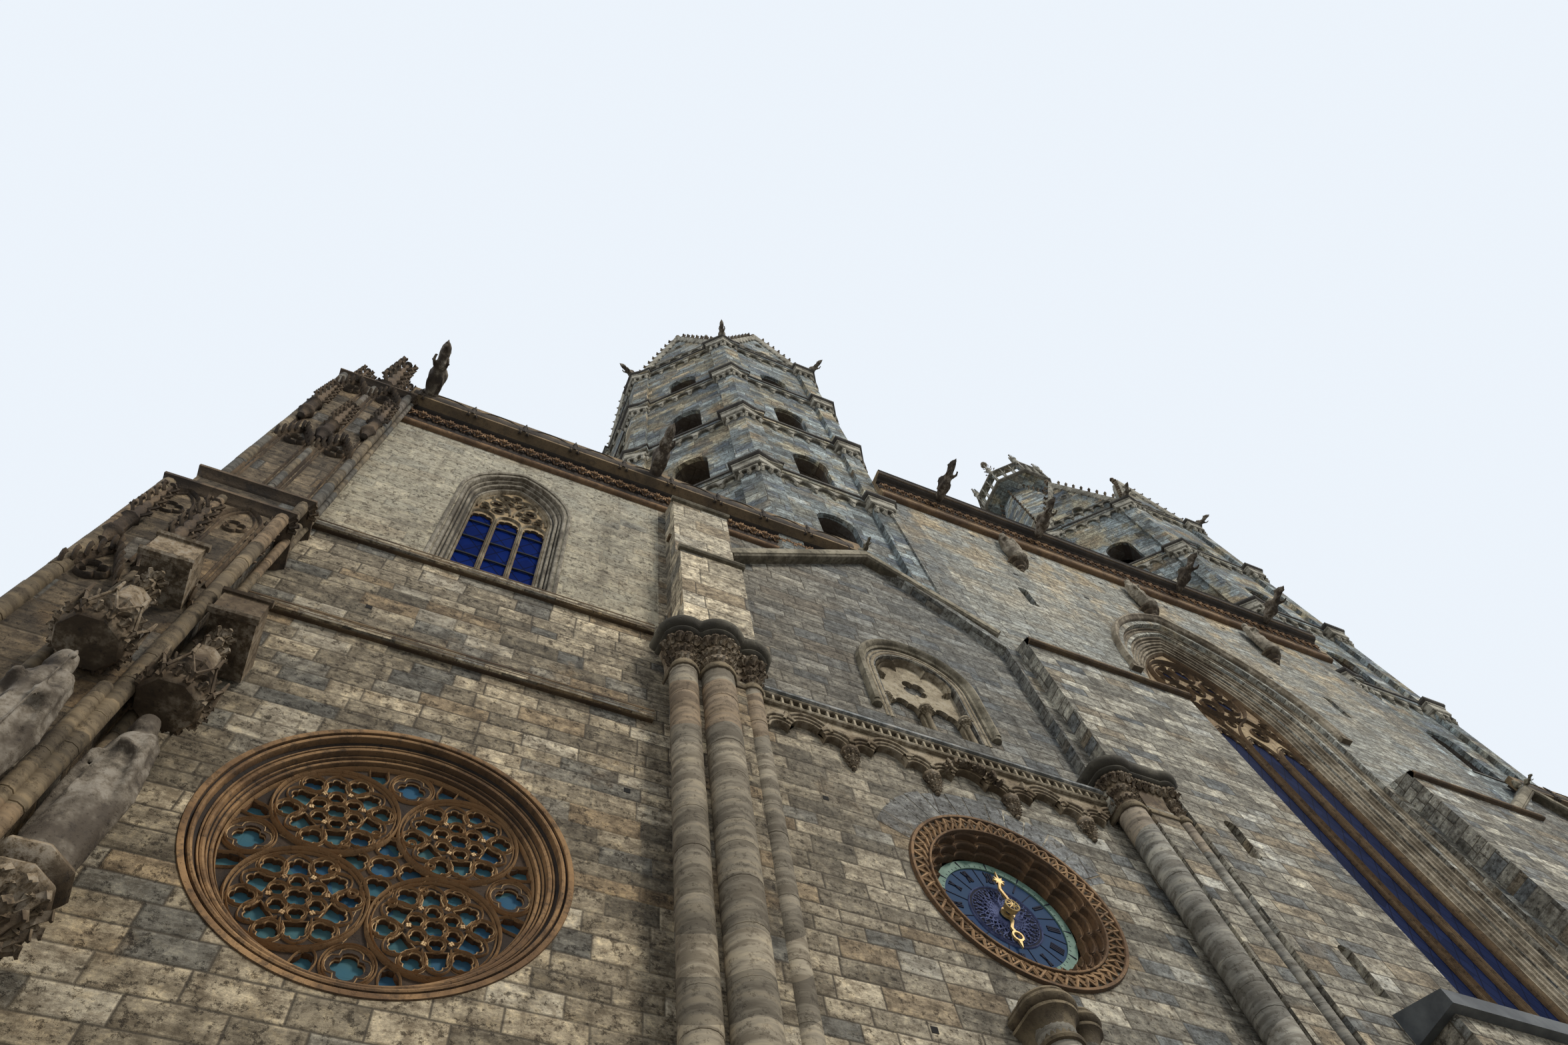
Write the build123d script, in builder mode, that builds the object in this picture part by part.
"""West front and nave of a medieval cathedral, as a 1:10 scale model in millimetres.

X runs to the right along the west front, Y runs into the church, Z is up.
The origin is at ground level, on the axis of the front, in the plane of its central wall.
Pieces that come in pairs are drawn on the right of the axis and mirrored.
"""

import os
from math import atan, atan2, cos, degrees, pi, radians, sin, sqrt, tan

from build123d import *

os.makedirs("parts", exist_ok=True)

# Distances from the axis of the front
window_bay_edge = 306.0
pier_shoulder = 600.0
pier_edge = 701.0
strip_edge = 728.0
clock_bay_edge = 1330.0
chapel_edge = 1994.0
front_edge = 2140.0

# Depths of the front's planes, from the central wall
pier_projection = 50.0
strip_projection = 20.0
buttress_projection = 48.0
chapel_setback = 20.0
centre_wall_depth = 180.0
chapel_wall_depth = 110.0

# Levels of the front
floor_level = 45.0
pier_top = 1960.0
base_top = 1940.0
cornice_foot = 2815.0
cornice_top = 2955.0
chapel_wall_top = 2150.0
chapel_cornice_top = 2280.0

# Octagon towers
tower_x = 990.0
tower_setback = 20.0
tower_width = 910.0
tower_wall = 90.0
pilaster_width = 50.0
pilaster_projection = 15.0
string_projection = 12.0
string_height = 26.0
storey_levels = (base_top, 2760.0, 3280.0, 3830.0, 4345.0)
opening_sills = (2320.0, 2785.0, 3290.0, 3840.0)
opening_heads = (2550.0, 3040.0, 3560.0, 4050.0)
opening_width = 109.0
base_wall = 130.0
tower_floor_thickness = 12.0
tower_gable_course = 35.0
tower_gable_top = 4830.0
tower_gable_wall = 38.0
tower_gable_sill = 4430.0
tower_gable_window = 44.0

# Spires
spire_inset = 49.0
spire_neck = 5650.0
spire_neck_width = 200.0
spire_wall = 26.0
crown_width = 400.0
crown_floor = 14.0
crown_post = 18.0
crown_rail_level = 5790.0
crown_rail_height = 18.0
spirelet_tip = 5950.0
needle_foot_width = 150.0
needle_neck = 5900.0
needle_neck_width = 50.0
finial_knob = 34.0
finial_stem = 9.0
finial_tip = 6450.0

# Gables over the clock bays
bay_gable_top = 2210.0
coping_width = 26.0
coping_projection = 20.0

# Central window
window_foot = 1090.0
window_springing = 2140.0
window_apex = 2490.0
window_half_width = 185.0
window_orders = ((94.0, 66.0, 18.0), (62.0, 44.0, 36.0), (30.0, 22.0, 54.0))
window_lights = 4
mullion_width = 12.0
tracery_depth = 22.0
light_springing = 2030.0
light_head = 2098.0
wheel_level = 2295.0
wheel_radius = 128.0
wheel_hub = 24.0
wheel_light_circle = 78.0
wheel_light = 33.0
wheel_kite = 28.0
pair_light = 25.0
pair_light_level = 2134.0
spandrel_light = 17.0
spandrel_light_x = 144.0
spandrel_light_level = 2198.0
glass_thickness = 3.0
slit_x = 490.0
slit_foot = 2340.0
slit_height = 100.0
slit_width = 27.0
slit_depth = 60.0
pier_slits = ((518.0, 1340.0), (489.0, 1080.0))
pier_slit_height = 78.0
pier_slit_depth = 26.0

# Portal
portal_half_width = 250.0
portal_springing = 470.0
portal_orders = 4
portal_order_step = 28.0
door_thickness = 14.0
porch_half_width = 490.0
porch_wall = 60.0
porch_top = 1000.0
porch_arch_half_width = 230.0
porch_arch_springing = 560.0
porch_arch_apex = 860.0
porch_roof_thickness = 22.0
porch_roof_overhang = 14.0
step_rise = 15.0
step_tread = 36.0

# Clock and round window
clock_level = 1152.0
round_outer = 146.0
round_wall_opening = 124.0
round_inner = 95.0
round_projection = 8.0
round_depth = 66.0
foils = 12
foil_orders = ((92.0, 29.0, 14.0), (80.0, 27.0, 33.0))
dial_setback = 33.0
dial_thickness = 12.0
post_radius = 3.0
hand_clearance = 0.05
hand_thickness = 3.0
hand_gap = 5.0
hand_width = 4.0
hub_radius = 9.5
minute_hand_length = 68.0
star_distance = 50.0
star_radius = 9.0
star_points = 8
hour_hand_length = 60.0
heart_distance = 40.0
heart_radius = 8.5
heart_bar = 2.6

# Blind window over the clock
blind_sill = 1530.0
blind_springing = 1690.0
blind_half_width = 80.0
blind_depth = 24.0

# Chapels
rose_x = 1730.0
rose_level = 993.0
rose_radius = 148.0
rose_moulding = 30.0
rose_setback = 22.0
rose_rim_light = 19.0
rose_rim_circle = 124.0
rose_spandrel_light = 6.0
rose_centre_light = 12.0
rose_centre_circle = 30.0
wheel_lights = ((0.0, 8.0, 6, 0), (21.0, 5.6, 3, 0), (34.3, 9.5, 4, 30), (47.0, 9.5, 6, 0))
chapel_window_x = 1730.0
chapel_window_foot = 1604.0
chapel_window_springing = 1930.0
chapel_window_apex = 2050.0
chapel_window_half_width = 70.0
chapel_window_splay = 24.0
chapel_window_setback = 22.0
chapel_light_springing = 1842.0
chapel_light_head = 1874.0
chapel_string_levels = (1340.0, 1590.0)
chapel_string_height = 14.0
chapel_string_projection = 10.0

# Corner buttresses
corner_depth = 200.0
corner_top = 2230.0
corner_ledges = (1450.0, 1550.0)
corner_step = 22.0
pinnacle_top = 2560.0
pinnacle_width = 62.0

# Figures, consoles and canopies
statue_height = 178.0
statue_width = 38.0
statue_pitch = 430.0
console_foot = 2590.0
console_height = 44.0
console_width = 64.0
corner_figures = ((2032.0, -86.0), (1958.0, -44.0))
corner_figure_height = 205.0
corner_figure_width = 50.0
corner_console_foot = 700.0
corner_console_height = 100.0
corner_console_width = 66.0
canopy_level = 1022.0
canopy_height = 150.0
canopy_width = 62.0
bracket_width = 30.0

# Gargoyles
gargoyle_width = 22.0
gargoyle_height = 28.0
gargoyle_length = 120.0
tower_gargoyle_sink = 10.0
cornice_gargoyles = (260.0, 600.0)
chapel_gargoyles = (1480.0, 1960.0)

# Shaft clusters and buttress piers
capital_height = 110.0
capital_overhang = 15.0
outer_capital_top = 1540.0
inner_capital_top = 1520.0
buttress_pier_shoulder = 1810.0
buttress_pier_top = 2120.0

# Corbel table over the clock
corbel_foot = 1335.0
corbel_shelf = 1372.0
corbel_band = 1432.0
corbel_top = 1462.0
corbel_projection = 14.0
corbel_string_projection = 20.0
corbel_pitch = 131.5
corbel_bays = 5
corbel_lobe = 27.0
corbel_lobe_rise = 8.0
corbel_side_lobe = 19.0
corbel_lobe_spread = 30.0
corbel_console = 22.0

# Engaged shafts under the round windows
round_shaft_x = 1052.0
round_shaft_gap = 46.0
round_shaft_top = 957.0
round_shaft_radius = 27.0
round_shaft_small = 17.0
round_shaft_capital = 46.0

# Nave behind the front
nave_end = 4550.0
nave_wall = 120.0
gable_wall = 80.0
eaves = 2250.0
ridge = 5600.0
roof_thickness = 26.0
nave_bays = 4
nave_buttress_width = 90.0
nave_buttress_depth = 100.0
nave_buttress_top = 2050.0
side_window_half_width = 110.0
side_window_foot = 700.0
side_window_springing = 1560.0
side_window_apex = 1820.0
low_roof_thickness = 20.0

# Sizes that follow
tower_apothem = tower_width / 2
tower_y = tower_setback + tower_apothem
tower_side = tower_width * tan(pi / 8)
base_inner = tower_x - tower_apothem
base_outer = tower_x + tower_apothem
base_depth = tower_setback + tower_width + pilaster_projection + string_projection
nave_start = base_depth + gable_wall
nave_inner = chapel_edge - nave_wall
east_inner = nave_end - nave_wall
bay_length = (east_inner - nave_start) / nave_bays
chapel_back = chapel_setback + chapel_wall_depth


def save(piece, node):
    """Name a finished piece and write it to its file."""
    piece.part.label = node
    export_step(piece.part, f"parts/{node}.step")


def front(depth):
    """A drawing plane that faces west at a depth: its x runs along the front, its y runs up."""
    return Plane(origin=(0, depth, 0), x_dir=(1, 0, 0), z_dir=(0, -1, 0))


def side(distance):
    """A drawing plane across the building: its x runs into the church, its y runs up."""
    return Plane(origin=(distance, 0, 0), x_dir=(0, 1, 0), z_dir=(1, 0, 0))


def octagon(plane, centre, width):
    """A regular octagon that stands on a flat, by its width across flats."""
    with BuildSketch(plane) as shape:
        with Locations(centre):
            RegularPolygon(width / 2, 8, major_radius=False, rotation=22.5)
    return shape.sketch


def round_arch(plane, middle, half_width, foot, springing):
    """An opening with a semicircular head."""
    with BuildSketch(plane) as shape:
        with BuildLine():
            Line((middle - half_width, springing), (middle - half_width, foot))
            Line((middle - half_width, foot), (middle + half_width, foot))
            Line((middle + half_width, foot), (middle + half_width, springing))
            ThreePointArc(
                (middle + half_width, springing),
                (middle, springing + half_width),
                (middle - half_width, springing),
            )
        make_face()
    return shape.sketch


def arc_point(middle, half_width, springing, apex, share, way):
    """A point on one arc of a pointed arch, at a share of the way from springing to apex."""
    rise = apex - springing
    offset_centre = (rise**2 - half_width**2) / (2 * half_width)
    radius = half_width + offset_centre
    angle = share * atan2(rise, offset_centre)
    return (middle + way * (radius * cos(angle) - offset_centre), springing + radius * sin(angle))


def pointed_arch(plane, middle, half_width, foot, springing, apex):
    """An opening with a pointed head of two arcs."""
    with BuildSketch(plane) as shape:
        with BuildLine():
            Line((middle - half_width, springing), (middle - half_width, foot))
            Line((middle - half_width, foot), (middle + half_width, foot))
            Line((middle + half_width, foot), (middle + half_width, springing))
            ThreePointArc(
                (middle + half_width, springing),
                arc_point(middle, half_width, springing, apex, 0.5, 1),
                (middle, apex),
            )
            ThreePointArc(
                (middle, apex),
                arc_point(middle, half_width, springing, apex, 0.5, -1),
                (middle - half_width, springing),
            )
        make_face()
    return shape.sketch


def block(x_low, x_high, y_low, y_high, z_low, z_high):
    """A plain block between two corners, for adding or cutting."""
    corner = Location((x_low, y_low, z_low))
    return corner * Box(
        x_high - x_low,
        y_high - y_low,
        z_high - z_low,
        align=(Align.MIN, Align.MIN, Align.MIN),
        mode=Mode.PRIVATE,
    )


def tower_plan(sign, level, swell):
    """The outline of a tower with its corner pilasters, swollen by a moulding's projection."""
    centre = (sign * tower_x, tower_y)
    full_width = tower_width + 2 * pilaster_projection
    panel = tower_side - 2 * pilaster_width
    with BuildSketch(Plane.XY.offset(level)) as shape:
        with Locations(centre):
            RegularPolygon(full_width / 2 + swell, 8, major_radius=False, rotation=22.5)
            with PolarLocations(full_width / 2 + swell, 8):
                Rectangle(2 * pilaster_projection, panel - 2 * swell, mode=Mode.SUBTRACT)
    return shape.sketch


def tapered(root, sections):
    """A form through rectangles that stand on a root plane, each (distance, lift, width, height)."""
    faces = []
    for distance, lift, width, height in sections:
        with BuildSketch(root.offset(distance)) as section_shape:
            with Locations((0, lift)):
                Rectangle(width, height)
        faces.append(section_shape.sketch)
    with BuildPart() as form:
        loft(sections=faces, ruled=True)
    return form.part


def gargoyle(root):
    """A beast that leans out from a wall along its root plane's normal, with its jaw open."""
    wide = gargoyle_width
    high = gargoyle_height
    reach = gargoyle_length
    with BuildPart() as beast:
        add(
            tapered(
                root,
                (
                    (0, 0, wide, high),
                    (0.35 * reach, 0.15 * high, wide, 1.05 * high),
                    (0.62 * reach, 0.3 * high, 0.55 * wide, 0.6 * high),
                    (0.72 * reach, 0.4 * high, 0.8 * wide, 0.75 * high),
                    (0.84 * reach, 0.4 * high, 0.7 * wide, 0.6 * high),
                ),
            )
        )
        add(
            tapered(
                root,
                (
                    (0.8 * reach, 0.58 * high, 0.6 * wide, 0.2 * high),
                    (reach, 0.52 * high, 0.4 * wide, 0.12 * high),
                ),
            )
        )
        add(
            tapered(
                root,
                (
                    (0.8 * reach, 0.18 * high, 0.5 * wide, 0.14 * high),
                    (0.96 * reach, 0.1 * high, 0.3 * wide, 0.1 * high),
                ),
            )
        )
    return beast.part


def turned(x, y, foot, height, width, steps):
    """An upright eight-sided form through steps of (share of the height, share of the width)."""
    faces = []
    for rise, share in steps:
        with BuildSketch(Plane.XY.offset(foot + rise * height)) as ring:
            with Locations((x, y)):
                RegularPolygon(share * width / 2, 8, major_radius=False, rotation=22.5)
        faces.append(ring.sketch)
    with BuildPart() as form:
        loft(sections=faces, ruled=True)
    return form.part


def figure(x, y, foot, height, width):
    """A standing robed figure: skirt, waist, shoulders, neck and head."""
    steps = (
        (0.0, 0.96),
        (0.08, 0.9),
        (0.42, 0.66),
        (0.6, 0.62),
        (0.74, 0.9),
        (0.82, 0.74),
        (0.85, 0.26),
        (0.94, 0.38),
        (1.0, 0.1),
    )
    return turned(x, y, foot, height, width, steps)


def tower_storey(sign, index):
    """One storey of a tower: a hollow octagon with a round-headed opening in each face."""
    foot = storey_levels[index]
    top = storey_levels[index + 1]
    half = opening_width / 2
    with BuildPart() as storey:
        extrude(tower_plan(sign, foot, 0), amount=top - foot)
        extrude(tower_plan(sign, top - string_height, string_projection), amount=string_height)
        hollow = octagon(Plane.XY.offset(foot), (sign * tower_x, tower_y), tower_width - 2 * tower_wall)
        extrude(hollow, amount=top - foot, mode=Mode.SUBTRACT)
        for turn in range(8):
            face = Plane(origin=(sign * tower_x, tower_y, 0)).rotated((0, 0, 45 * turn))
            outward = Plane(face.origin, x_dir=face.y_dir, z_dir=face.x_dir)
            opening = round_arch(outward, 0, half, opening_sills[index], opening_heads[index] - half)
            extrude(opening, amount=tower_width, mode=Mode.SUBTRACT)
    return storey


# Towers: four storeys each, with the square base below them
storeys = {}
for tower, sign in (("left", -1), ("right", 1)):
    for index in range(4):
        storey = tower_storey(sign, index)
        storeys[(sign, index)] = storey.part
        save(storey, f"{tower}_tower_storey_{index + 1}")

for tower, sign in (("left", -1), ("right", 1)):
    centre = (sign * tower_x, tower_y)
    with BuildPart() as tower_base:
        add(block(base_inner, base_outer, 0, base_depth, 0, base_top))
        add(
            block(
                base_inner + base_wall,
                base_outer - base_wall,
                base_wall,
                base_depth - base_wall,
                0,
                base_top,
            ),
            mode=Mode.SUBTRACT,
        )
        with BuildSketch(front(0)):
            with Locations((tower_x, clock_level)):
                Circle(round_wall_opening)
        extrude(amount=-base_wall, mode=Mode.SUBTRACT)
        blind = round_arch(front(0), tower_x, blind_half_width, blind_sill, blind_springing)
        extrude(blind, amount=-blind_depth, mode=Mode.SUBTRACT)
    if sign < 0:
        with BuildPart() as mirrored_base:
            mirror(tower_base.part, about=Plane.YZ)
        save(mirrored_base, "left_tower_base")
    else:
        save(tower_base, "right_tower_base")

with BuildPart() as tower_floors:
    for sign in (-1, 1):
        for index in range(4):
            plan = octagon(
                Plane.XY.offset(storey_levels[index]),
                (sign * tower_x, tower_y),
                tower_width - 2 * tower_wall,
            )
            extrude(plan, amount=tower_floor_thickness)
save(tower_floors, "tower_floors")

# Gables round the foot of each spire
gable_foot = storey_levels[4]
gable_half_width = tower_side / 2
spire_foot_width = tower_width - 2 * spire_inset
for tower, sign in (("left", -1), ("right", 1)):
    with BuildPart() as gables:
        course = octagon(Plane.XY.offset(gable_foot), (sign * tower_x, tower_y), tower_width)
        extrude(course, amount=tower_gable_course)
        for turn in range(8):
            face = Plane(origin=(sign * tower_x, tower_y, 0)).rotated((0, 0, 45 * turn))
            outward = Plane(
                face.origin + face.x_dir * tower_apothem, x_dir=face.y_dir, z_dir=face.x_dir
            )
            with BuildSketch(outward) as gable_shape:
                Polygon(
                    (-gable_half_width, gable_foot + tower_gable_course),
                    (gable_half_width, gable_foot + tower_gable_course),
                    (0, tower_gable_top),
                    align=None,
                )
            extrude(gable_shape.sketch, amount=-tower_gable_wall)
        hollow = octagon(
            Plane.XY.offset(gable_foot), (sign * tower_x, tower_y), tower_width - 2 * tower_gable_wall
        )
        extrude(hollow, amount=tower_gable_top - gable_foot, mode=Mode.SUBTRACT)
        for turn in range(8):
            face = Plane(origin=(sign * tower_x, tower_y, 0)).rotated((0, 0, 45 * turn))
            outward = Plane(face.origin, x_dir=face.y_dir, z_dir=face.x_dir)
            window = round_arch(
                outward,
                0,
                tower_gable_window / 2,
                tower_gable_sill,
                tower_gable_sill + tower_gable_window,
            )
            extrude(window, amount=tower_width, mode=Mode.SUBTRACT)
    save(gables, f"{tower}_tower_gables")

for tower, sign in (("left", -1), ("right", 1)):
    centre = (sign * tower_x, tower_y)
    with BuildPart() as spire:
        foot_plane = Plane.XY.offset(gable_foot)
        neck_plane = Plane.XY.offset(spire_neck)
        loft(
            sections=[
                octagon(foot_plane, centre, spire_foot_width),
                octagon(neck_plane, centre, spire_neck_width),
            ],
            ruled=True,
        )
        loft(
            sections=[
                octagon(foot_plane, centre, spire_foot_width - 2 * spire_wall),
                octagon(neck_plane, centre, spire_neck_width - 2 * spire_wall),
            ],
            ruled=True,
            mode=Mode.SUBTRACT,
        )
    save(spire, f"{tower}_spire")

for tower, sign in (("left", -1), ("right", 1)):
    centre = (sign * tower_x, tower_y)
    post_circle = crown_width / 2 / cos(pi / 8) - crown_post
    with BuildPart() as crown:
        extrude(octagon(Plane.XY.offset(spire_neck), centre, crown_width), amount=crown_floor)
        with BuildSketch(Plane.XY.offset(spire_neck + crown_floor)):
            with Locations(centre):
                with PolarLocations(post_circle, 8, start_angle=22.5):
                    Rectangle(crown_post, crown_post)
        extrude(amount=crown_rail_level - spire_neck - crown_floor)
        extrude(octagon(Plane.XY.offset(crown_rail_level), centre, crown_width), amount=crown_rail_height)
        extrude(
            octagon(Plane.XY.offset(crown_rail_level), centre, crown_width - 4 * crown_post),
            amount=crown_rail_height,
            mode=Mode.SUBTRACT,
        )
        loft(
            sections=[
                octagon(Plane.XY.offset(spire_neck + crown_floor), centre, needle_foot_width),
                octagon(Plane.XY.offset(needle_neck), centre, needle_neck_width),
            ],
            ruled=True,
        )
        with BuildSketch(Plane(origin=(sign * tower_x, tower_y, 0), x_dir=(1, 0, 0), z_dir=(0, -1, 0))):
            with BuildLine():
                Polyline(
                    (0, needle_neck),
                    (needle_neck_width / 2, needle_neck),
                    (finial_stem, needle_neck + finial_knob),
                    (finial_knob, needle_neck + 2 * finial_knob),
                    (finial_stem, needle_neck + 3 * finial_knob),
                    (0, finial_tip),
                    close=True,
                )
            make_face()
        revolve(axis=Axis((sign * tower_x, tower_y, 0), (0, 0, 1)))
        for turn in range(8):
            angle = radians(45 * turn + 22.5)
            place = (sign * tower_x + post_circle * cos(angle), tower_y + post_circle * sin(angle))
            with BuildSketch(Plane.XY.offset(crown_rail_level + crown_rail_height)) as spirelet_foot:
                with Locations(place):
                    Rectangle(crown_post, crown_post, rotation=degrees(angle))
            with BuildSketch(Plane.XY.offset(spirelet_tip)) as spirelet_top:
                with Locations(place):
                    Rectangle(crown_post / 4, crown_post / 4, rotation=degrees(angle))
            loft(sections=[spirelet_foot.sketch, spirelet_top.sketch], ruled=True)
    save(crown, f"{tower}_spire_crown")

# Gables over the clock bays, with their copings
with BuildPart() as bay_gables:
    with BuildSketch(front(0)):
        Polygon(
            (strip_edge, base_top),
            (clock_bay_edge, base_top),
            (tower_x, bay_gable_top),
            align=None,
        )
    extrude(amount=-tower_setback)
    with BuildSketch(front(-coping_projection)):
        Polygon(
            (strip_edge, base_top),
            (tower_x, bay_gable_top),
            (clock_bay_edge, base_top),
            (clock_bay_edge + coping_width, base_top),
            (tower_x, bay_gable_top + coping_width),
            (strip_edge - coping_width, base_top),
            align=None,
        )
    extrude(amount=-(coping_projection + tower_setback))
    add(storeys[(1, 0)], mode=Mode.SUBTRACT)
    mirror(about=Plane.YZ)
save(bay_gables, "bay_gables")

# Central wall: between the tower bases below, between the octagons above
with BuildPart() as centre_wall:
    add(block(-base_inner, base_inner, 0, centre_wall_depth, 0, base_top))
    corner_x = tower_x - tower_side / 2
    with BuildSketch(Plane.XY.offset(base_top)):
        Polygon(
            (-corner_x, 0),
            (corner_x, 0),
            (corner_x, tower_setback),
            (corner_x - centre_wall_depth + tower_setback, centre_wall_depth),
            (-corner_x + centre_wall_depth - tower_setback, centre_wall_depth),
            (-corner_x, tower_setback),
            align=None,
        )
    extrude(amount=cornice_foot - base_top)
    for sign in (-1, 1):
        add(storeys[(sign, 0)], mode=Mode.SUBTRACT)
        add(storeys[(sign, 1)], mode=Mode.SUBTRACT)
    add(bay_gables.part, mode=Mode.SUBTRACT)
    for widening, rise, depth in window_orders:
        order = pointed_arch(
            front(0),
            0,
            window_half_width + widening,
            window_foot,
            window_springing,
            window_apex + rise,
        )
        extrude(order, amount=-depth, mode=Mode.SUBTRACT)
    clear = pointed_arch(
        front(0), 0, window_half_width, window_foot, window_springing, window_apex
    )
    extrude(clear, amount=-centre_wall_depth, mode=Mode.SUBTRACT)
    portal = round_arch(front(0), 0, portal_half_width, floor_level, portal_springing)
    extrude(portal, amount=-centre_wall_depth, mode=Mode.SUBTRACT)
    for sign in (-1, 1):
        left_edge = sign * slit_x - slit_width / 2
        add(
            block(left_edge, left_edge + slit_width, 0, slit_depth, slit_foot, slit_foot + slit_height),
            mode=Mode.SUBTRACT,
        )
save(centre_wall, "centre_wall")

# Tracery and glass of the central window
glass_plane = window_orders[-1][2] + tracery_depth
light_pitch = 2 * window_half_width / window_lights
with BuildPart() as centre_tracery:
    extrude(
        pointed_arch(
            front(window_orders[-1][2]), 0, window_half_width, window_foot, window_springing, window_apex
        ),
        amount=-tracery_depth,
    )
    for light in range(window_lights):
        middle = (light - (window_lights - 1) / 2) * light_pitch
        hole = pointed_arch(
            front(0),
            middle,
            (light_pitch - mullion_width) / 2,
            window_foot + mullion_width,
            light_springing,
            light_head,
        )
        extrude(hole, amount=-centre_wall_depth, mode=Mode.SUBTRACT)
    with BuildSketch(front(0)):
        for sign in (-1, 1):
            with Locations((sign * window_half_width / 2, pair_light_level)):
                RegularPolygon(pair_light, 6, rotation=30)
            with Locations((sign * spandrel_light_x, spandrel_light_level)):
                RegularPolygon(spandrel_light, 3, rotation=90 - sign * 30)
        with Locations((0, wheel_level)):
            RegularPolygon(wheel_hub, 6, rotation=30)
            with PolarLocations(wheel_light_circle, 3, start_angle=90):
                RegularPolygon(wheel_light, 8)
            with PolarLocations(wheel_light_circle, 3, start_angle=30):
                RegularPolygon(wheel_kite, 4)
        with Locations((0, wheel_level + wheel_radius + mullion_width)):
            RegularPolygon(mullion_width, 3, rotation=90)
    extrude(amount=-centre_wall_depth, mode=Mode.SUBTRACT)
save(centre_tracery, "centre_window_tracery")

with BuildPart() as front_glass:
    extrude(
        pointed_arch(front(glass_plane), 0, window_half_width, window_foot, window_springing, window_apex),
        amount=-glass_thickness,
    )
    rose_glass_plane = chapel_setback + rose_setback + tracery_depth
    chapel_glass_plane = chapel_setback + chapel_window_setback + tracery_depth
    for sign in (-1, 1):
        with BuildSketch(front(rose_glass_plane)) as rose_pane:
            with Locations((sign * rose_x, rose_level)):
                Circle(rose_radius)
        extrude(rose_pane.sketch, amount=-glass_thickness)
        pane = pointed_arch(
            front(chapel_glass_plane),
            sign * chapel_window_x,
            chapel_window_half_width,
            chapel_window_foot,
            chapel_window_springing,
            chapel_window_apex,
        )
        extrude(pane, amount=-glass_thickness)
    with BuildSketch(front(dial_setback + tracery_depth)) as round_pane:
        with Locations((tower_x, clock_level)):
            Circle(round_inner)
    extrude(round_pane.sketch, amount=-glass_thickness)
save(front_glass, "front_glass")

# Cornice over the central wall
with BuildPart() as centre_cornice:
    with BuildSketch(side(-corner_x)):
        with BuildLine():
            Polyline(
                (0, cornice_foot),
                (-12, cornice_foot + 14),
                (-12, cornice_foot + 46),
                (-6, cornice_foot + 54),
                (-6, cornice_top - 34),
                (-30, cornice_top - 20),
                (-35, cornice_top - 20),
                (-35, cornice_top),
                (centre_wall_depth, cornice_top),
                (centre_wall_depth, cornice_foot),
                close=True,
            )
        make_face()
    extrude(amount=2 * corner_x)
    for sign in (-1, 1):
        extrude(
            octagon(Plane.XY.offset(cornice_foot), (sign * tower_x, tower_y), tower_width + 2 * pilaster_projection),
            amount=cornice_top - cornice_foot,
            mode=Mode.SUBTRACT,
        )
save(centre_cornice, "centre_cornice")

# Piers beside the central window
with BuildPart() as front_piers:
    with BuildSketch(side(window_bay_edge)):
        with BuildLine():
            Polyline(
                (0, 0),
                (-pier_projection, 0),
                (-pier_projection, pier_top - 40),
                (-pier_projection - 8, pier_top - 34),
                (-pier_projection - 8, pier_top - 22),
                (0, pier_top),
                close=True,
            )
        make_face()
    extrude(amount=pier_edge - window_bay_edge)
    add(
        block(pier_shoulder, pier_edge, -pier_projection, 0, 0, inner_capital_top),
        mode=Mode.SUBTRACT,
    )
    add(block(pier_edge, strip_edge, -strip_projection, 0, inner_capital_top, base_top))
    for place, foot in pier_slits:
        slit = round_arch(front(-pier_projection), place, slit_width / 2, foot, foot + pier_slit_height)
        extrude(slit, amount=-pier_slit_depth, mode=Mode.SUBTRACT)
    mirror(about=Plane.YZ)
save(front_piers, "front_piers")

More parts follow.
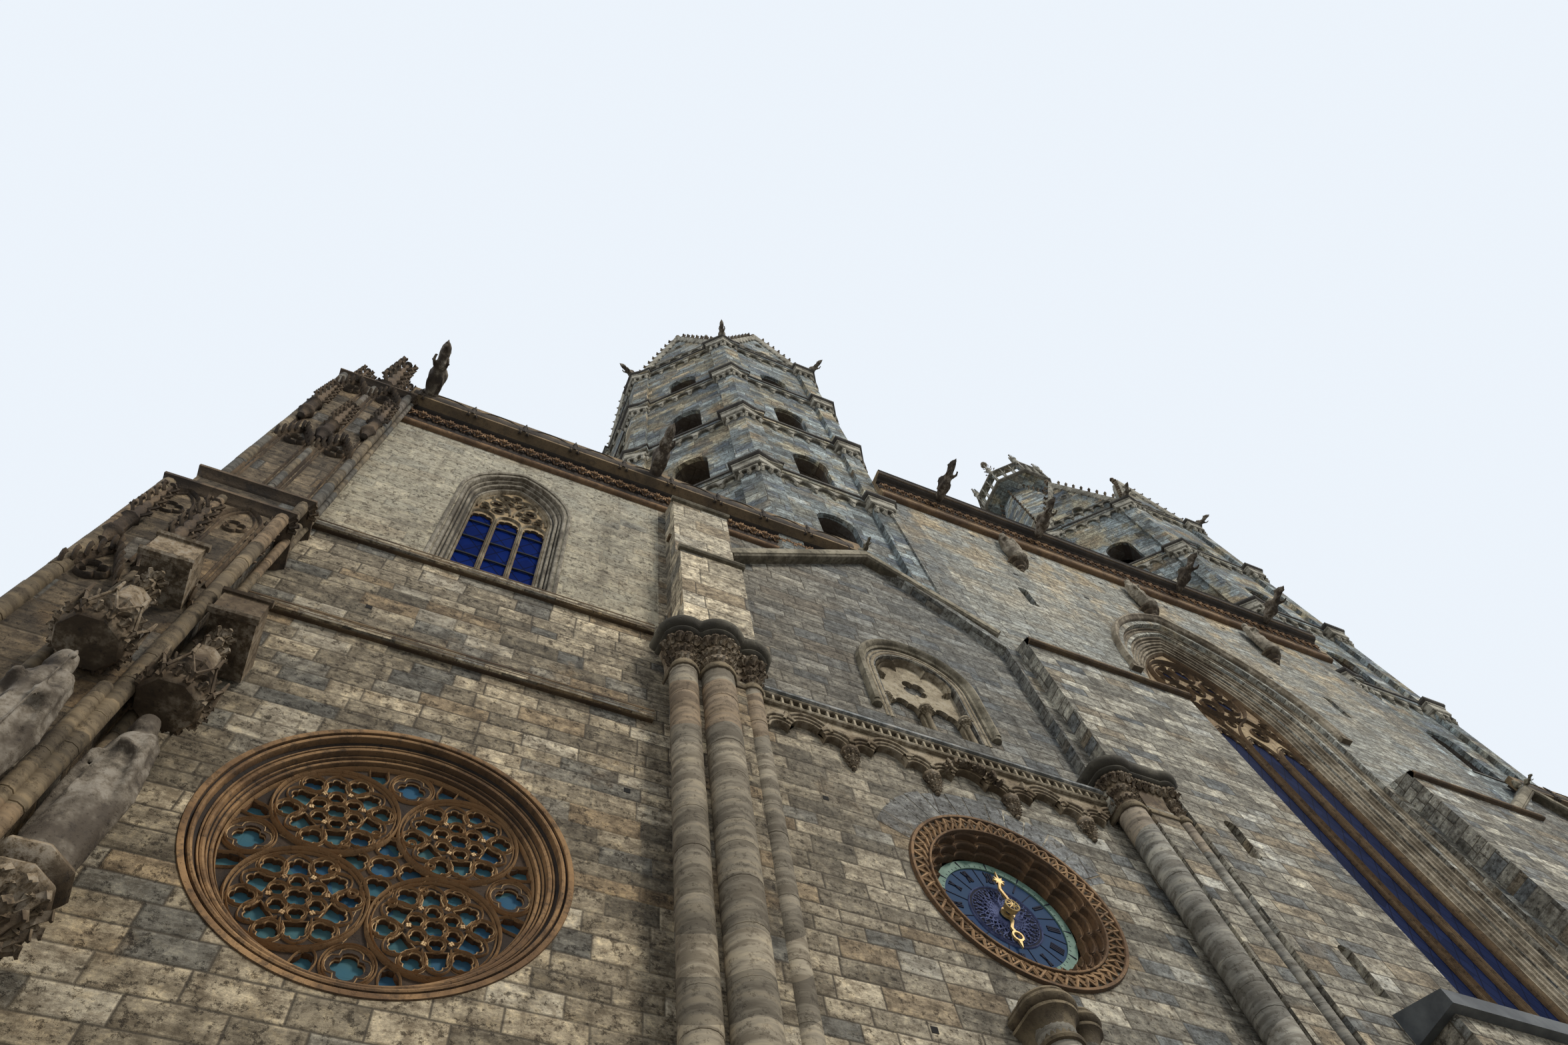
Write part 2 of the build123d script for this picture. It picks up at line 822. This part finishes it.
# Shafts that frame the clock bays
with BuildPart() as shaft_clusters:
    with BuildSketch():
        Polygon(
            (pier_shoulder, 0),
            (pier_shoulder, -30),
            (pier_shoulder + 22, -30),
            (pier_shoulder + 22, -42),
            (pier_shoulder + 72, -42),
            (pier_shoulder + 72, 0),
            align=None,
        )
        with Locations((pier_shoulder + 11, -36)):
            Circle(10)
        with Locations((strip_edge - 26, -24)):
            Circle(23)
        with Locations((strip_edge - 26, -12)):
            Rectangle(46, 24)
    extrude(amount=inner_capital_top - capital_height)
    with BuildSketch(Plane.XY.offset(inner_capital_top - capital_height)):
        with Locations(((pier_shoulder + strip_edge) / 2, -pier_projection / 2)):
            Rectangle(strip_edge - pier_shoulder, pier_projection)
    extrude(amount=capital_height)
    with BuildSketch():
        Polygon(
            (clock_bay_edge, 0),
            (clock_bay_edge, -24),
            (clock_bay_edge + 20, -24),
            (clock_bay_edge + 20, -34),
            (base_outer - 24, -34),
            (base_outer - 24, -26),
            (base_outer, -26),
            (base_outer, 0),
            align=None,
        )
        with Locations((clock_bay_edge + 8, -20)):
            Circle(12)
        with Locations((clock_bay_edge + 60, -26)):
            Circle(24)
        with Locations((base_outer - 6, -20)):
            Circle(20)
    extrude(amount=outer_capital_top - capital_height)
    with BuildSketch(Plane.XY.offset(outer_capital_top - capital_height)):
        with Locations(((clock_bay_edge + base_outer) / 2, -26)):
            Rectangle(base_outer - clock_bay_edge + 2 * capital_overhang, 52)
    extrude(amount=capital_height)
    for place, radius in (
        (round_shaft_x, round_shaft_radius),
        (round_shaft_x - round_shaft_gap, round_shaft_small),
    ):
        with BuildSketch():
            with Locations((place, -radius)):
                Circle(radius)
        extrude(amount=round_shaft_top)
        capital_foot = round_shaft_top - round_shaft_capital
        with BuildSketch(Plane.XY.offset(capital_foot)):
            with Locations((place, -radius)):
                Circle(radius + 1)
        with BuildSketch(Plane.XY.offset(round_shaft_top)):
            with Locations((place, -radius)):
                Circle(radius + 11)
        loft()
    add(
        block(round_shaft_x - 3 * round_shaft_gap, round_shaft_x + 2 * round_shaft_gap, 0, 60, 0, base_top),
        mode=Mode.SUBTRACT,
    )
    mirror(about=Plane.YZ)
save(shaft_clusters, "shaft_clusters")

with BuildPart() as buttress_piers:
    with BuildSketch(side(clock_bay_edge)):
        with BuildLine():
            Polyline(
                (0, outer_capital_top),
                (-buttress_projection, outer_capital_top),
                (-buttress_projection, buttress_pier_shoulder),
                (-buttress_projection + 22, buttress_pier_shoulder + 32),
                (-buttress_projection + 22, buttress_pier_top),
                (chapel_setback, buttress_pier_top + 30),
                (chapel_setback, base_top),
                (0, base_top),
                close=True,
            )
        make_face()
    extrude(amount=base_outer - clock_bay_edge)
    add(bay_gables.part, mode=Mode.SUBTRACT)
    mirror(about=Plane.YZ)
save(buttress_piers, "buttress_piers")

# Corbel table over each clock bay
with BuildPart() as corbel_tables:
    table_start = strip_edge
    table_end = clock_bay_edge - capital_overhang
    with BuildSketch(front(-corbel_projection)):
        with BuildLine():
            Polyline(
                (table_start, corbel_shelf),
                (table_end, corbel_shelf),
                (table_end, corbel_band),
                (table_start, corbel_band),
                close=True,
            )
        make_face()
        for bay in range(corbel_bays):
            middle = table_end - (bay + 0.5) * corbel_pitch
            with Locations((middle, corbel_shelf + corbel_lobe_rise)):
                Circle(corbel_lobe, mode=Mode.SUBTRACT)
            for sign in (-1, 1):
                with Locations((middle + sign * corbel_lobe_spread, corbel_shelf)):
                    Circle(corbel_side_lobe, mode=Mode.SUBTRACT)
    extrude(amount=-corbel_projection)
    add(block(table_start, table_end, -corbel_string_projection, 0, corbel_band, corbel_top))
    for bay in range(1, corbel_bays):
        console = table_end - bay * corbel_pitch
        with BuildSketch(Plane.XY.offset(corbel_foot)) as console_toe:
            with Locations((console, -corbel_projection / 4)):
                Rectangle(corbel_console / 3, corbel_projection / 2)
        with BuildSketch(Plane.XY.offset(corbel_shelf)) as console_cap:
            with Locations((console, -corbel_string_projection / 2)):
                Rectangle(corbel_console, corbel_string_projection)
        loft(sections=[console_toe.sketch, console_cap.sketch], ruled=True)
        add(
            block(
                console - corbel_console / 2,
                console + corbel_console / 2,
                -corbel_string_projection,
                0,
                corbel_shelf,
                corbel_band,
            )
        )
    mirror(about=Plane.YZ)
save(corbel_tables, "corbel_tables")

# Round frames, dial and hands
with BuildPart() as round_frames:
    with BuildSketch(front(0)):
        with Locations((tower_x, clock_level)):
            Circle(round_wall_opening)
            Circle(round_inner, mode=Mode.SUBTRACT)
    extrude(amount=-round_depth)
    for circle, radius, depth in foil_orders:
        with BuildSketch(front(0)):
            with Locations((tower_x, clock_level)):
                with PolarLocations(circle, foils):
                    Circle(radius)
        extrude(amount=-depth, mode=Mode.SUBTRACT)
    with BuildSketch(front(0)):
        with Locations((tower_x, clock_level)):
            Circle(round_outer)
            Circle(foil_orders[0][0] + foil_orders[0][1], mode=Mode.SUBTRACT)
    extrude(amount=round_projection)
    mirror(about=Plane.YZ)
save(round_frames, "round_frames")

with BuildPart() as round_tracery:
    with BuildSketch(front(dial_setback)):
        with Locations((tower_x, clock_level)):
            Circle(round_inner)
            RegularPolygon(round_inner / 5, 8, mode=Mode.SUBTRACT)
            with PolarLocations(0.62 * round_inner, 8):
                RegularPolygon(0.19 * round_inner, 6, mode=Mode.SUBTRACT)
            with PolarLocations(0.87 * round_inner, 8, start_angle=22.5):
                RegularPolygon(0.07 * round_inner, 3, mode=Mode.SUBTRACT)
    extrude(amount=-tracery_depth)
save(round_tracery, "round_window_tracery")

hour_back = dial_setback - hand_gap
hour_front = hour_back - hand_thickness
minute_back = hour_front - hand_gap
minute_front = minute_back - hand_thickness
clock_centre = (-tower_x, clock_level)
with BuildPart() as clock_dial:
    with BuildSketch(front(dial_setback)):
        with Locations(clock_centre):
            Circle(round_inner)
    extrude(amount=-dial_thickness)
    with BuildSketch(front(dial_setback)):
        with Locations(clock_centre):
            Circle(post_radius)
    extrude(amount=dial_setback - minute_front)
save(clock_dial, "clock_dial")

with BuildPart() as hour_hand:
    with BuildSketch(front(hour_back)):
        with Locations(clock_centre):
            Circle(hub_radius)
            Polygon(
                (hand_width / 2, 0),
                (hand_width, -heart_distance / 3),
                (-hand_width / 2, -2 * heart_distance / 3),
                (hand_width / 2, -heart_distance),
                (-hand_width / 2, -heart_distance),
                (-1.5 * hand_width, -2 * heart_distance / 3),
                (0, -heart_distance / 3),
                (-hand_width / 2, 0),
                align=None,
            )
            Polygon(
                (-heart_radius / 2, -heart_distance),
                (heart_radius / 2, -heart_distance),
                (0, -hour_hand_length),
                align=None,
            )
            with Locations((0, -heart_distance)):
                RegularPolygon(heart_radius, 12)
                RegularPolygon(heart_radius - heart_bar, 12, mode=Mode.SUBTRACT)
            Circle(post_radius + hand_clearance, mode=Mode.SUBTRACT)
    extrude(amount=hand_thickness)
save(hour_hand, "hour_hand")

with BuildPart() as minute_hand:
    star = []
    for point in range(2 * star_points):
        reach = star_radius if point % 2 == 0 else 0.5 * star_radius
        angle = pi * point / star_points
        star.append((reach * sin(angle), star_distance + reach * cos(angle)))
    with BuildSketch(front(minute_back)):
        with Locations(clock_centre):
            Circle(hub_radius)
            Polygon(
                (hand_width / 2, 0),
                (hand_width, star_distance / 3),
                (-hand_width / 2, 2 * star_distance / 3),
                (hand_width / 3, star_distance),
                (-hand_width / 3, star_distance),
                (-1.5 * hand_width, 2 * star_distance / 3),
                (0, star_distance / 3),
                (-hand_width / 2, 0),
                align=None,
            )
            Polygon(*star, align=None)
            Polygon(
                (-hand_width / 2, star_distance),
                (hand_width / 2, star_distance),
                (0, minute_hand_length),
                align=None,
            )
            Circle(post_radius + hand_clearance, mode=Mode.SUBTRACT)
    extrude(amount=hand_thickness)
    with BuildSketch(front(minute_front)):
        with Locations(clock_centre):
            Circle(hub_radius)
            Circle(post_radius + hand_clearance, mode=Mode.SUBTRACT)
    extrude(amount=hand_clearance)
    with BuildSketch(front(minute_front - hand_clearance)):
        with Locations(clock_centre):
            Circle(hub_radius)
    extrude(amount=hand_thickness)
save(minute_hand, "minute_hand")

# Chapel fronts with their roses and pointed windows
with BuildPart() as chapel_fronts:
    add(block(base_outer, chapel_edge, chapel_setback, chapel_back, 0, chapel_wall_top))
    add(block(tower_x, base_outer, chapel_setback, chapel_back, base_top, chapel_wall_top))
    add(storeys[(1, 0)], mode=Mode.SUBTRACT)
    with BuildSketch(Plane.XY.offset(base_top)) as inside_tower:
        add(octagon(Plane.XY, (tower_x, tower_y), tower_width))
    extrude(amount=chapel_wall_top - base_top, mode=Mode.SUBTRACT)
    splay_foot = Plane(origin=(rose_x, chapel_setback + rose_setback, rose_level), z_dir=(0, -1, 0))
    splay_cone = Cone(
        rose_radius,
        rose_radius + rose_moulding,
        rose_setback,
        align=(Align.CENTER, Align.CENTER, Align.MIN),
        mode=Mode.PRIVATE,
    )
    add(splay_foot.location * splay_cone, mode=Mode.SUBTRACT)
    with BuildSketch(front(chapel_setback)):
        with Locations((rose_x, rose_level)):
            Circle(rose_radius)
    extrude(amount=-chapel_wall_depth, mode=Mode.SUBTRACT)
    splay = pointed_arch(
        front(chapel_setback),
        chapel_window_x,
        chapel_window_half_width + chapel_window_splay,
        chapel_window_foot,
        chapel_window_springing,
        chapel_window_apex + chapel_window_splay,
    )
    extrude(splay, amount=-chapel_window_setback, mode=Mode.SUBTRACT)
    clear = pointed_arch(
        front(chapel_setback),
        chapel_window_x,
        chapel_window_half_width,
        chapel_window_foot,
        chapel_window_springing,
        chapel_window_apex,
    )
    extrude(clear, amount=-chapel_wall_depth, mode=Mode.SUBTRACT)
    for level in chapel_string_levels:
        add(
            block(
                base_outer + 25,
                chapel_edge,
                chapel_setback - chapel_string_projection,
                chapel_setback,
                level,
                level + chapel_string_height,
            )
        )
    mirror(about=Plane.YZ)
save(chapel_fronts, "chapel_fronts")

# Rose tracery: four wheels of lights on the diagonals, rim lights between them, a ring at the centre
rose_wheel = rose_radius * (sqrt(2) - 1)
with BuildPart() as rose_tracery:
    with BuildSketch(front(chapel_setback + rose_setback)):
        with Locations((rose_x, rose_level)):
            Circle(rose_radius)
            RegularPolygon(rose_centre_light, 8, rotation=22.5, mode=Mode.SUBTRACT)
            with PolarLocations(rose_centre_circle, 4):
                RegularPolygon(rose_centre_light, 6, mode=Mode.SUBTRACT)
            with PolarLocations(rose_rim_circle, 4):
                RegularPolygon(rose_rim_light, 6, mode=Mode.SUBTRACT)
            for turn in range(4):
                with PolarLocations(0.905 * rose_radius, 2, start_angle=90 * turn - 17, angular_range=34):
                    RegularPolygon(rose_spandrel_light, 3, mode=Mode.SUBTRACT)
            with PolarLocations(rose_radius - rose_wheel, 4, start_angle=45):
                for circle, radius, sides, turn in wheel_lights:
                    count = 1 if circle == 0 else 6
                    with PolarLocations(circle, count, start_angle=turn):
                        RegularPolygon(radius, sides, mode=Mode.SUBTRACT)
    extrude(amount=-tracery_depth)
    mirror(about=Plane.YZ)
save(rose_tracery, "rose_tracery")

with BuildPart() as chapel_tracery:
    chapel_light_pitch = 2 * chapel_window_half_width / 3
    with BuildSketch(front(chapel_setback + chapel_window_setback)):
        add(
            pointed_arch(
                Plane.XY,
                chapel_window_x,
                chapel_window_half_width,
                chapel_window_foot,
                chapel_window_springing,
                chapel_window_apex,
            )
        )
        for light in (-1, 0, 1):
            add(
                pointed_arch(
                    Plane.XY,
                    chapel_window_x + light * chapel_light_pitch,
                    chapel_light_pitch / 2 - 4,
                    chapel_window_foot + 8,
                    chapel_light_springing,
                    chapel_light_head,
                ),
                mode=Mode.SUBTRACT,
            )
        for sign in (-1, 1):
            with Locations((chapel_window_x + sign * chapel_light_pitch / 2, chapel_light_head + 18)):
                RegularPolygon(13, 6, rotation=30, mode=Mode.SUBTRACT)
            with Locations((chapel_window_x + 1.15 * sign * chapel_light_pitch, chapel_light_head + 38)):
                RegularPolygon(11, 3, rotation=90, mode=Mode.SUBTRACT)
        with Locations((chapel_window_x, chapel_light_head + 84)):
            with PolarLocations(21, 3, start_angle=90):
                RegularPolygon(12, 6, mode=Mode.SUBTRACT)
        with Locations((chapel_window_x, chapel_window_apex - 36)):
            RegularPolygon(8, 3, rotation=90, mode=Mode.SUBTRACT)
    extrude(amount=-tracery_depth)
    mirror(about=Plane.YZ)
save(chapel_tracery, "chapel_window_tracery")

with BuildPart() as chapel_cornices:
    with BuildSketch(side(tower_x)):
        with BuildLine():
            Polyline(
                (chapel_setback, chapel_wall_top),
                (chapel_setback - 8, chapel_wall_top + 10),
                (chapel_setback - 4, chapel_wall_top + 18),
                (chapel_setback - 4, chapel_wall_top + 70),
                (chapel_setback - 35, chapel_wall_top + 84),
                (chapel_setback - 35, chapel_cornice_top),
                (chapel_back, chapel_cornice_top),
                (chapel_back, chapel_wall_top),
                close=True,
            )
        make_face()
    extrude(amount=chapel_edge - tower_x)
    extrude(
        octagon(Plane.XY.offset(chapel_wall_top), (tower_x, tower_y), tower_width + 2 * pilaster_projection),
        amount=chapel_cornice_top - chapel_wall_top,
        mode=Mode.SUBTRACT,
    )
    add(bay_gables.part, mode=Mode.SUBTRACT)
    add(buttress_piers.part, mode=Mode.SUBTRACT)
    mirror(about=Plane.YZ)
save(chapel_cornices, "chapel_cornices")

# Corner buttresses with their figures, canopies and pinnacles
with BuildPart() as corner_buttresses:
    corner_back = corner_depth - pier_projection
    add(block(chapel_edge, front_edge, -pier_projection, corner_back, 0, corner_ledges[0]))
    add(
        block(
            chapel_edge,
            front_edge - corner_step / 2,
            -pier_projection + corner_step,
            corner_back,
            corner_ledges[0],
            corner_ledges[1],
        )
    )
    shaft_edge = front_edge - corner_step
    shaft_face = -pier_projection + 2 * corner_step
    add(block(chapel_edge, shaft_edge, shaft_face, corner_back, corner_ledges[1], corner_top))
    shaft_middle = (chapel_edge + shaft_edge) / 2
    corner_figure_foot = corner_console_foot + corner_console_height
    console_steps = ((0.0, 0.16), (0.3, 0.5), (0.7, 0.9), (0.85, 1.0), (1.0, 1.0))
    canopy_steps = ((0.0, 1.0), (0.3, 0.9), (0.45, 0.42), (1.0, 0.1))
    for place, out in corner_figures:
        add(
            turned(
                place,
                out,
                corner_console_foot,
                corner_console_height,
                corner_console_width,
                console_steps,
            )
        )
        add(figure(place, out, corner_figure_foot, corner_figure_height, corner_figure_width))
        add(turned(place, out, canopy_level, canopy_height, canopy_width, canopy_steps))
        inner = place - bracket_width / 2
        outer = max(place + bracket_width / 2, chapel_edge)
        for foot, height in (
            (corner_console_foot + corner_console_height / 2, corner_console_height / 2),
            (canopy_level + canopy_height / 8, canopy_height / 4),
        ):
            add(block(inner, outer, out, out + corner_console_width / 2 + 8, foot, foot + height))
    for pinnacle_y in (shaft_face + pinnacle_width / 2, corner_back - pinnacle_width / 2):
        with BuildSketch(Plane.XY.offset(corner_top)) as pinnacle_foot:
            with Locations((shaft_middle, pinnacle_y)):
                RegularPolygon(pinnacle_width / 2, 8, major_radius=False, rotation=22.5)
        with BuildSketch(Plane.XY.offset(pinnacle_top)) as pinnacle_tip:
            with Locations((shaft_middle, pinnacle_y)):
                RegularPolygon(pinnacle_width / 16, 8, major_radius=False, rotation=22.5)
        loft(sections=[pinnacle_foot.sketch, pinnacle_tip.sketch], ruled=True)
    mirror(about=Plane.YZ)
save(corner_buttresses, "corner_buttresses")

# Portal, its doors, the porch before it and the steps
with BuildPart() as portal_arch:
    order_depth = centre_wall_depth / portal_orders
    for order in range(portal_orders):
        reach = portal_half_width - (order + 1) * portal_order_step
        plane = front(order * order_depth)
        extrude(
            round_arch(plane, 0, portal_half_width, floor_level, portal_springing),
            amount=-order_depth,
        )
        extrude(
            round_arch(plane, 0, reach, floor_level, portal_springing),
            amount=-order_depth,
            mode=Mode.SUBTRACT,
        )
save(portal_arch, "portal_arch")

with BuildPart() as portal_doors:
    door_half_width = portal_half_width - portal_orders * portal_order_step
    extrude(
        round_arch(
            front(centre_wall_depth - 2 * door_thickness), 0, door_half_width, floor_level, portal_springing
        ),
        amount=-door_thickness,
    )
save(portal_doors, "portal_doors")

porch_back = -pier_projection
porch_front = porch_back - porch_wall
with BuildPart() as portal_porch:
    add(block(-porch_half_width, porch_half_width, porch_front, porch_back, 0, porch_top))
    archway = pointed_arch(
        front(porch_front), 0, porch_arch_half_width, floor_level, porch_arch_springing, porch_arch_apex
    )
    extrude(archway, amount=-porch_wall, mode=Mode.SUBTRACT)
save(portal_porch, "portal_porch")

with BuildPart() as porch_roof:
    with BuildSketch(side(-window_bay_edge)):
        Polygon(
            (0, porch_top),
            (0, porch_top + 3 * porch_roof_thickness),
            (porch_front - porch_roof_overhang, porch_top + porch_roof_thickness),
            (porch_front - porch_roof_overhang, porch_top),
            align=None,
        )
    extrude(amount=2 * window_bay_edge)
    slope = 2 * porch_roof_thickness / (porch_roof_overhang - porch_front)
    for sign in (-1, 1):
        with BuildSketch(side(sign * window_bay_edge)):
            Polygon(
                (porch_back, porch_top),
                (porch_back, porch_top + 3 * porch_roof_thickness + slope * porch_back),
                (porch_front - porch_roof_overhang, porch_top + porch_roof_thickness),
                (porch_front - porch_roof_overhang, porch_top),
                align=None,
            )
        extrude(amount=sign * (porch_half_width + porch_roof_overhang - window_bay_edge))
save(porch_roof, "porch_roof")

with BuildPart() as portal_steps:
    add(block(-window_bay_edge, window_bay_edge, porch_back, 0, 0, floor_level))
    for step in range(2):
        reach = (2 - step) * step_tread
        add(
            block(
                -porch_arch_half_width - reach,
                porch_arch_half_width + reach,
                porch_front - reach,
                porch_front,
                step * step_rise,
                (step + 1) * step_rise,
            )
        )
save(portal_steps, "portal_steps")

# Statues on their consoles under the central cornice
statue_foot = console_foot + console_height
cornice_console_steps = ((0.0, 0.15), (0.55, 0.6), (0.9, 1.0), (1.0, 1.0))
with BuildPart() as cornice_statues:
    for place in (-statue_pitch, 0, statue_pitch):
        add(turned(place, 0, console_foot, console_height, console_width, cornice_console_steps))
        add(
            block(
                place - console_width, place + console_width, 0, console_width, console_foot, statue_foot
            ),
            mode=Mode.SUBTRACT,
        )
        add(figure(place, -statue_width / 2, statue_foot, statue_height, statue_width))
save(cornice_statues, "cornice_statues")

# Gargoyles: on both cornices and at the corners of the towers
with BuildPart() as gargoyles:
    cornice_face = -35.0
    for distance in cornice_gargoyles:
        for sign in (-1, 1):
            root = Plane(
                origin=(sign * distance, cornice_face, cornice_top - gargoyle_height),
                x_dir=(1, 0, 0),
                z_dir=(0, -1, 0),
            )
            add(gargoyle(root))
    for distance in chapel_gargoyles:
        for sign in (-1, 1):
            root = Plane(
                origin=(sign * distance, chapel_setback + cornice_face, chapel_cornice_top - gargoyle_height),
                x_dir=(1, 0, 0),
                z_dir=(0, -1, 0),
            )
            add(gargoyle(root))
    tower_corner = (tower_width / 2 + pilaster_projection) / cos(pi / 8)
    for sign in (-1, 1):
        for corner in range(8):
            angle = radians(45 * corner + 22.5)
            root = Plane(
                origin=(
                    sign * tower_x + (tower_corner - gargoyle_width / 2) * cos(angle),
                    tower_y + (tower_corner - gargoyle_width / 2) * sin(angle),
                    storey_levels[4] - tower_gargoyle_sink,
                ),
                x_dir=(-sin(angle), cos(angle), 0),
                z_dir=(cos(angle), sin(angle), 0),
            )
            add(gargoyle(root))
        add(storeys[(sign, 3)], mode=Mode.SUBTRACT)
        extrude(
            octagon(Plane.XY.offset(storey_levels[4]), (sign * tower_x, tower_y), tower_width),
            amount=tower_gable_course,
            mode=Mode.SUBTRACT,
        )
save(gargoyles, "gargoyles")

# Nave walls, gables and roofs
with BuildPart() as side_walls:
    add(block(nave_inner, chapel_edge, chapel_back, east_inner, 0, eaves))
    for bay in range(nave_bays):
        middle = nave_start + (bay + 0.5) * bay_length
        window = pointed_arch(
            side(nave_inner),
            middle,
            side_window_half_width,
            side_window_foot,
            side_window_springing,
            side_window_apex,
        )
        extrude(window, amount=nave_wall, mode=Mode.SUBTRACT)
    for bay in range(nave_bays + 1):
        place = nave_start + bay * bay_length
        with BuildSketch(Plane(origin=(0, place - nave_buttress_width / 2, 0), x_dir=(1, 0, 0), z_dir=(0, -1, 0))):
            Polygon(
                (chapel_edge, 0),
                (chapel_edge + nave_buttress_depth, 0),
                (chapel_edge + nave_buttress_depth, nave_buttress_top - nave_buttress_depth),
                (chapel_edge, nave_buttress_top),
                align=None,
            )
        extrude(amount=-nave_buttress_width)
    mirror(about=Plane.YZ)
save(side_walls, "side_walls")


def gable_outline(plane, half_width, foot):
    """A gable wall from its foot to the ridge, a little above the roof."""
    rise = ridge - eaves
    with BuildSketch(plane) as shape:
        Polygon(
            (-half_width, foot),
            (half_width, foot),
            (half_width, eaves),
            (chapel_edge, eaves),
            (0, eaves + rise),
            (-chapel_edge, eaves),
            (-half_width, eaves),
            align=None,
        )
    return shape.sketch


with BuildPart() as west_gable:
    extrude(gable_outline(front(base_depth), nave_inner, 0), amount=-gable_wall)
    nave_arch = pointed_arch(front(base_depth), 0, base_inner - base_wall, floor_level, 1200, 1750)
    extrude(nave_arch, amount=-gable_wall, mode=Mode.SUBTRACT)
    for sign in (-1, 1):
        aisle_arch = pointed_arch(
            front(base_depth), sign * (base_outer + nave_inner) / 2, 150, floor_level, 1000, 1300
        )
        extrude(aisle_arch, amount=-gable_wall, mode=Mode.SUBTRACT)
save(west_gable, "west_gable")

with BuildPart() as east_wall:
    extrude(gable_outline(front(east_inner), chapel_edge, 0), amount=-nave_wall)
    for place in (-1000, 0, 1000):
        window = pointed_arch(
            front(east_inner),
            place,
            side_window_half_width,
            side_window_foot,
            side_window_springing,
            side_window_apex,
        )
        extrude(window, amount=-nave_wall, mode=Mode.SUBTRACT)
save(east_wall, "east_wall")

with BuildPart() as side_glass:
    for bay in range(nave_bays):
        middle = nave_start + (bay + 0.5) * bay_length
        pane = pointed_arch(
            side(nave_inner + nave_wall / 2),
            middle,
            side_window_half_width,
            side_window_foot,
            side_window_springing,
            side_window_apex,
        )
        extrude(pane, amount=glass_thickness)
    mirror(about=Plane.YZ)
    for place in (-1000, 0, 1000):
        pane = pointed_arch(
            front(east_inner + nave_wall / 2),
            place,
            side_window_half_width,
            side_window_foot,
            side_window_springing,
            side_window_apex,
        )
        extrude(pane, amount=-glass_thickness)
save(side_glass, "side_glass")

with BuildPart() as nave_roof:
    pitch = atan((ridge - eaves) / chapel_edge)
    with BuildSketch(front(nave_start)):
        Polygon(
            (-chapel_edge, eaves),
            (-chapel_edge + roof_thickness / sin(pitch), eaves),
            (0, ridge - roof_thickness / cos(pitch)),
            (chapel_edge - roof_thickness / sin(pitch), eaves),
            (chapel_edge, eaves),
            (0, ridge),
            align=None,
        )
    extrude(amount=nave_start - east_inner)
save(nave_roof, "nave_roof")

with BuildPart() as low_roofs:
    with BuildSketch(Plane.XY.offset(cornice_foot)) as between_towers:
        Polygon(
            (-corner_x, centre_wall_depth),
            (corner_x, centre_wall_depth),
            (corner_x, base_depth),
            (-corner_x, base_depth),
            align=None,
        )
    extrude(amount=low_roof_thickness)
    for sign in (-1, 1):
        with BuildSketch(Plane.XY.offset(cornice_foot)):
            add(octagon(Plane.XY, (sign * tower_x, tower_y), tower_width + 2 * pilaster_projection))
        extrude(amount=low_roof_thickness, mode=Mode.SUBTRACT)
        low = min(sign * tower_x, sign * nave_inner)
        high = max(sign * tower_x, sign * nave_inner)
        add(
            block(
                low, high, chapel_back, base_depth, chapel_wall_top, chapel_wall_top + low_roof_thickness
            )
        )
        with BuildSketch(Plane.XY.offset(chapel_wall_top)):
            add(octagon(Plane.XY, (sign * tower_x, tower_y), tower_width + 2 * pilaster_projection))
        extrude(amount=low_roof_thickness, mode=Mode.SUBTRACT)
save(low_roofs, "low_roofs")

with BuildPart() as church_floor:
    add(block(-nave_inner, nave_inner, nave_start, east_inner, 0, floor_level))
    add(block(-base_inner, base_inner, centre_wall_depth, base_depth, 0, floor_level))
    for sign in (-1, 1):
        tower_low = sign * tower_x - tower_apothem + base_wall
        tower_high = sign * tower_x + tower_apothem - base_wall
        add(block(tower_low, tower_high, base_wall, base_depth - base_wall, 0, floor_level))
        chapel_low = min(sign * base_outer, sign * nave_inner)
        chapel_high = max(sign * base_outer, sign * nave_inner)
        add(block(chapel_low, chapel_high, chapel_back, base_depth, 0, floor_level))
save(church_floor, "church_floor")
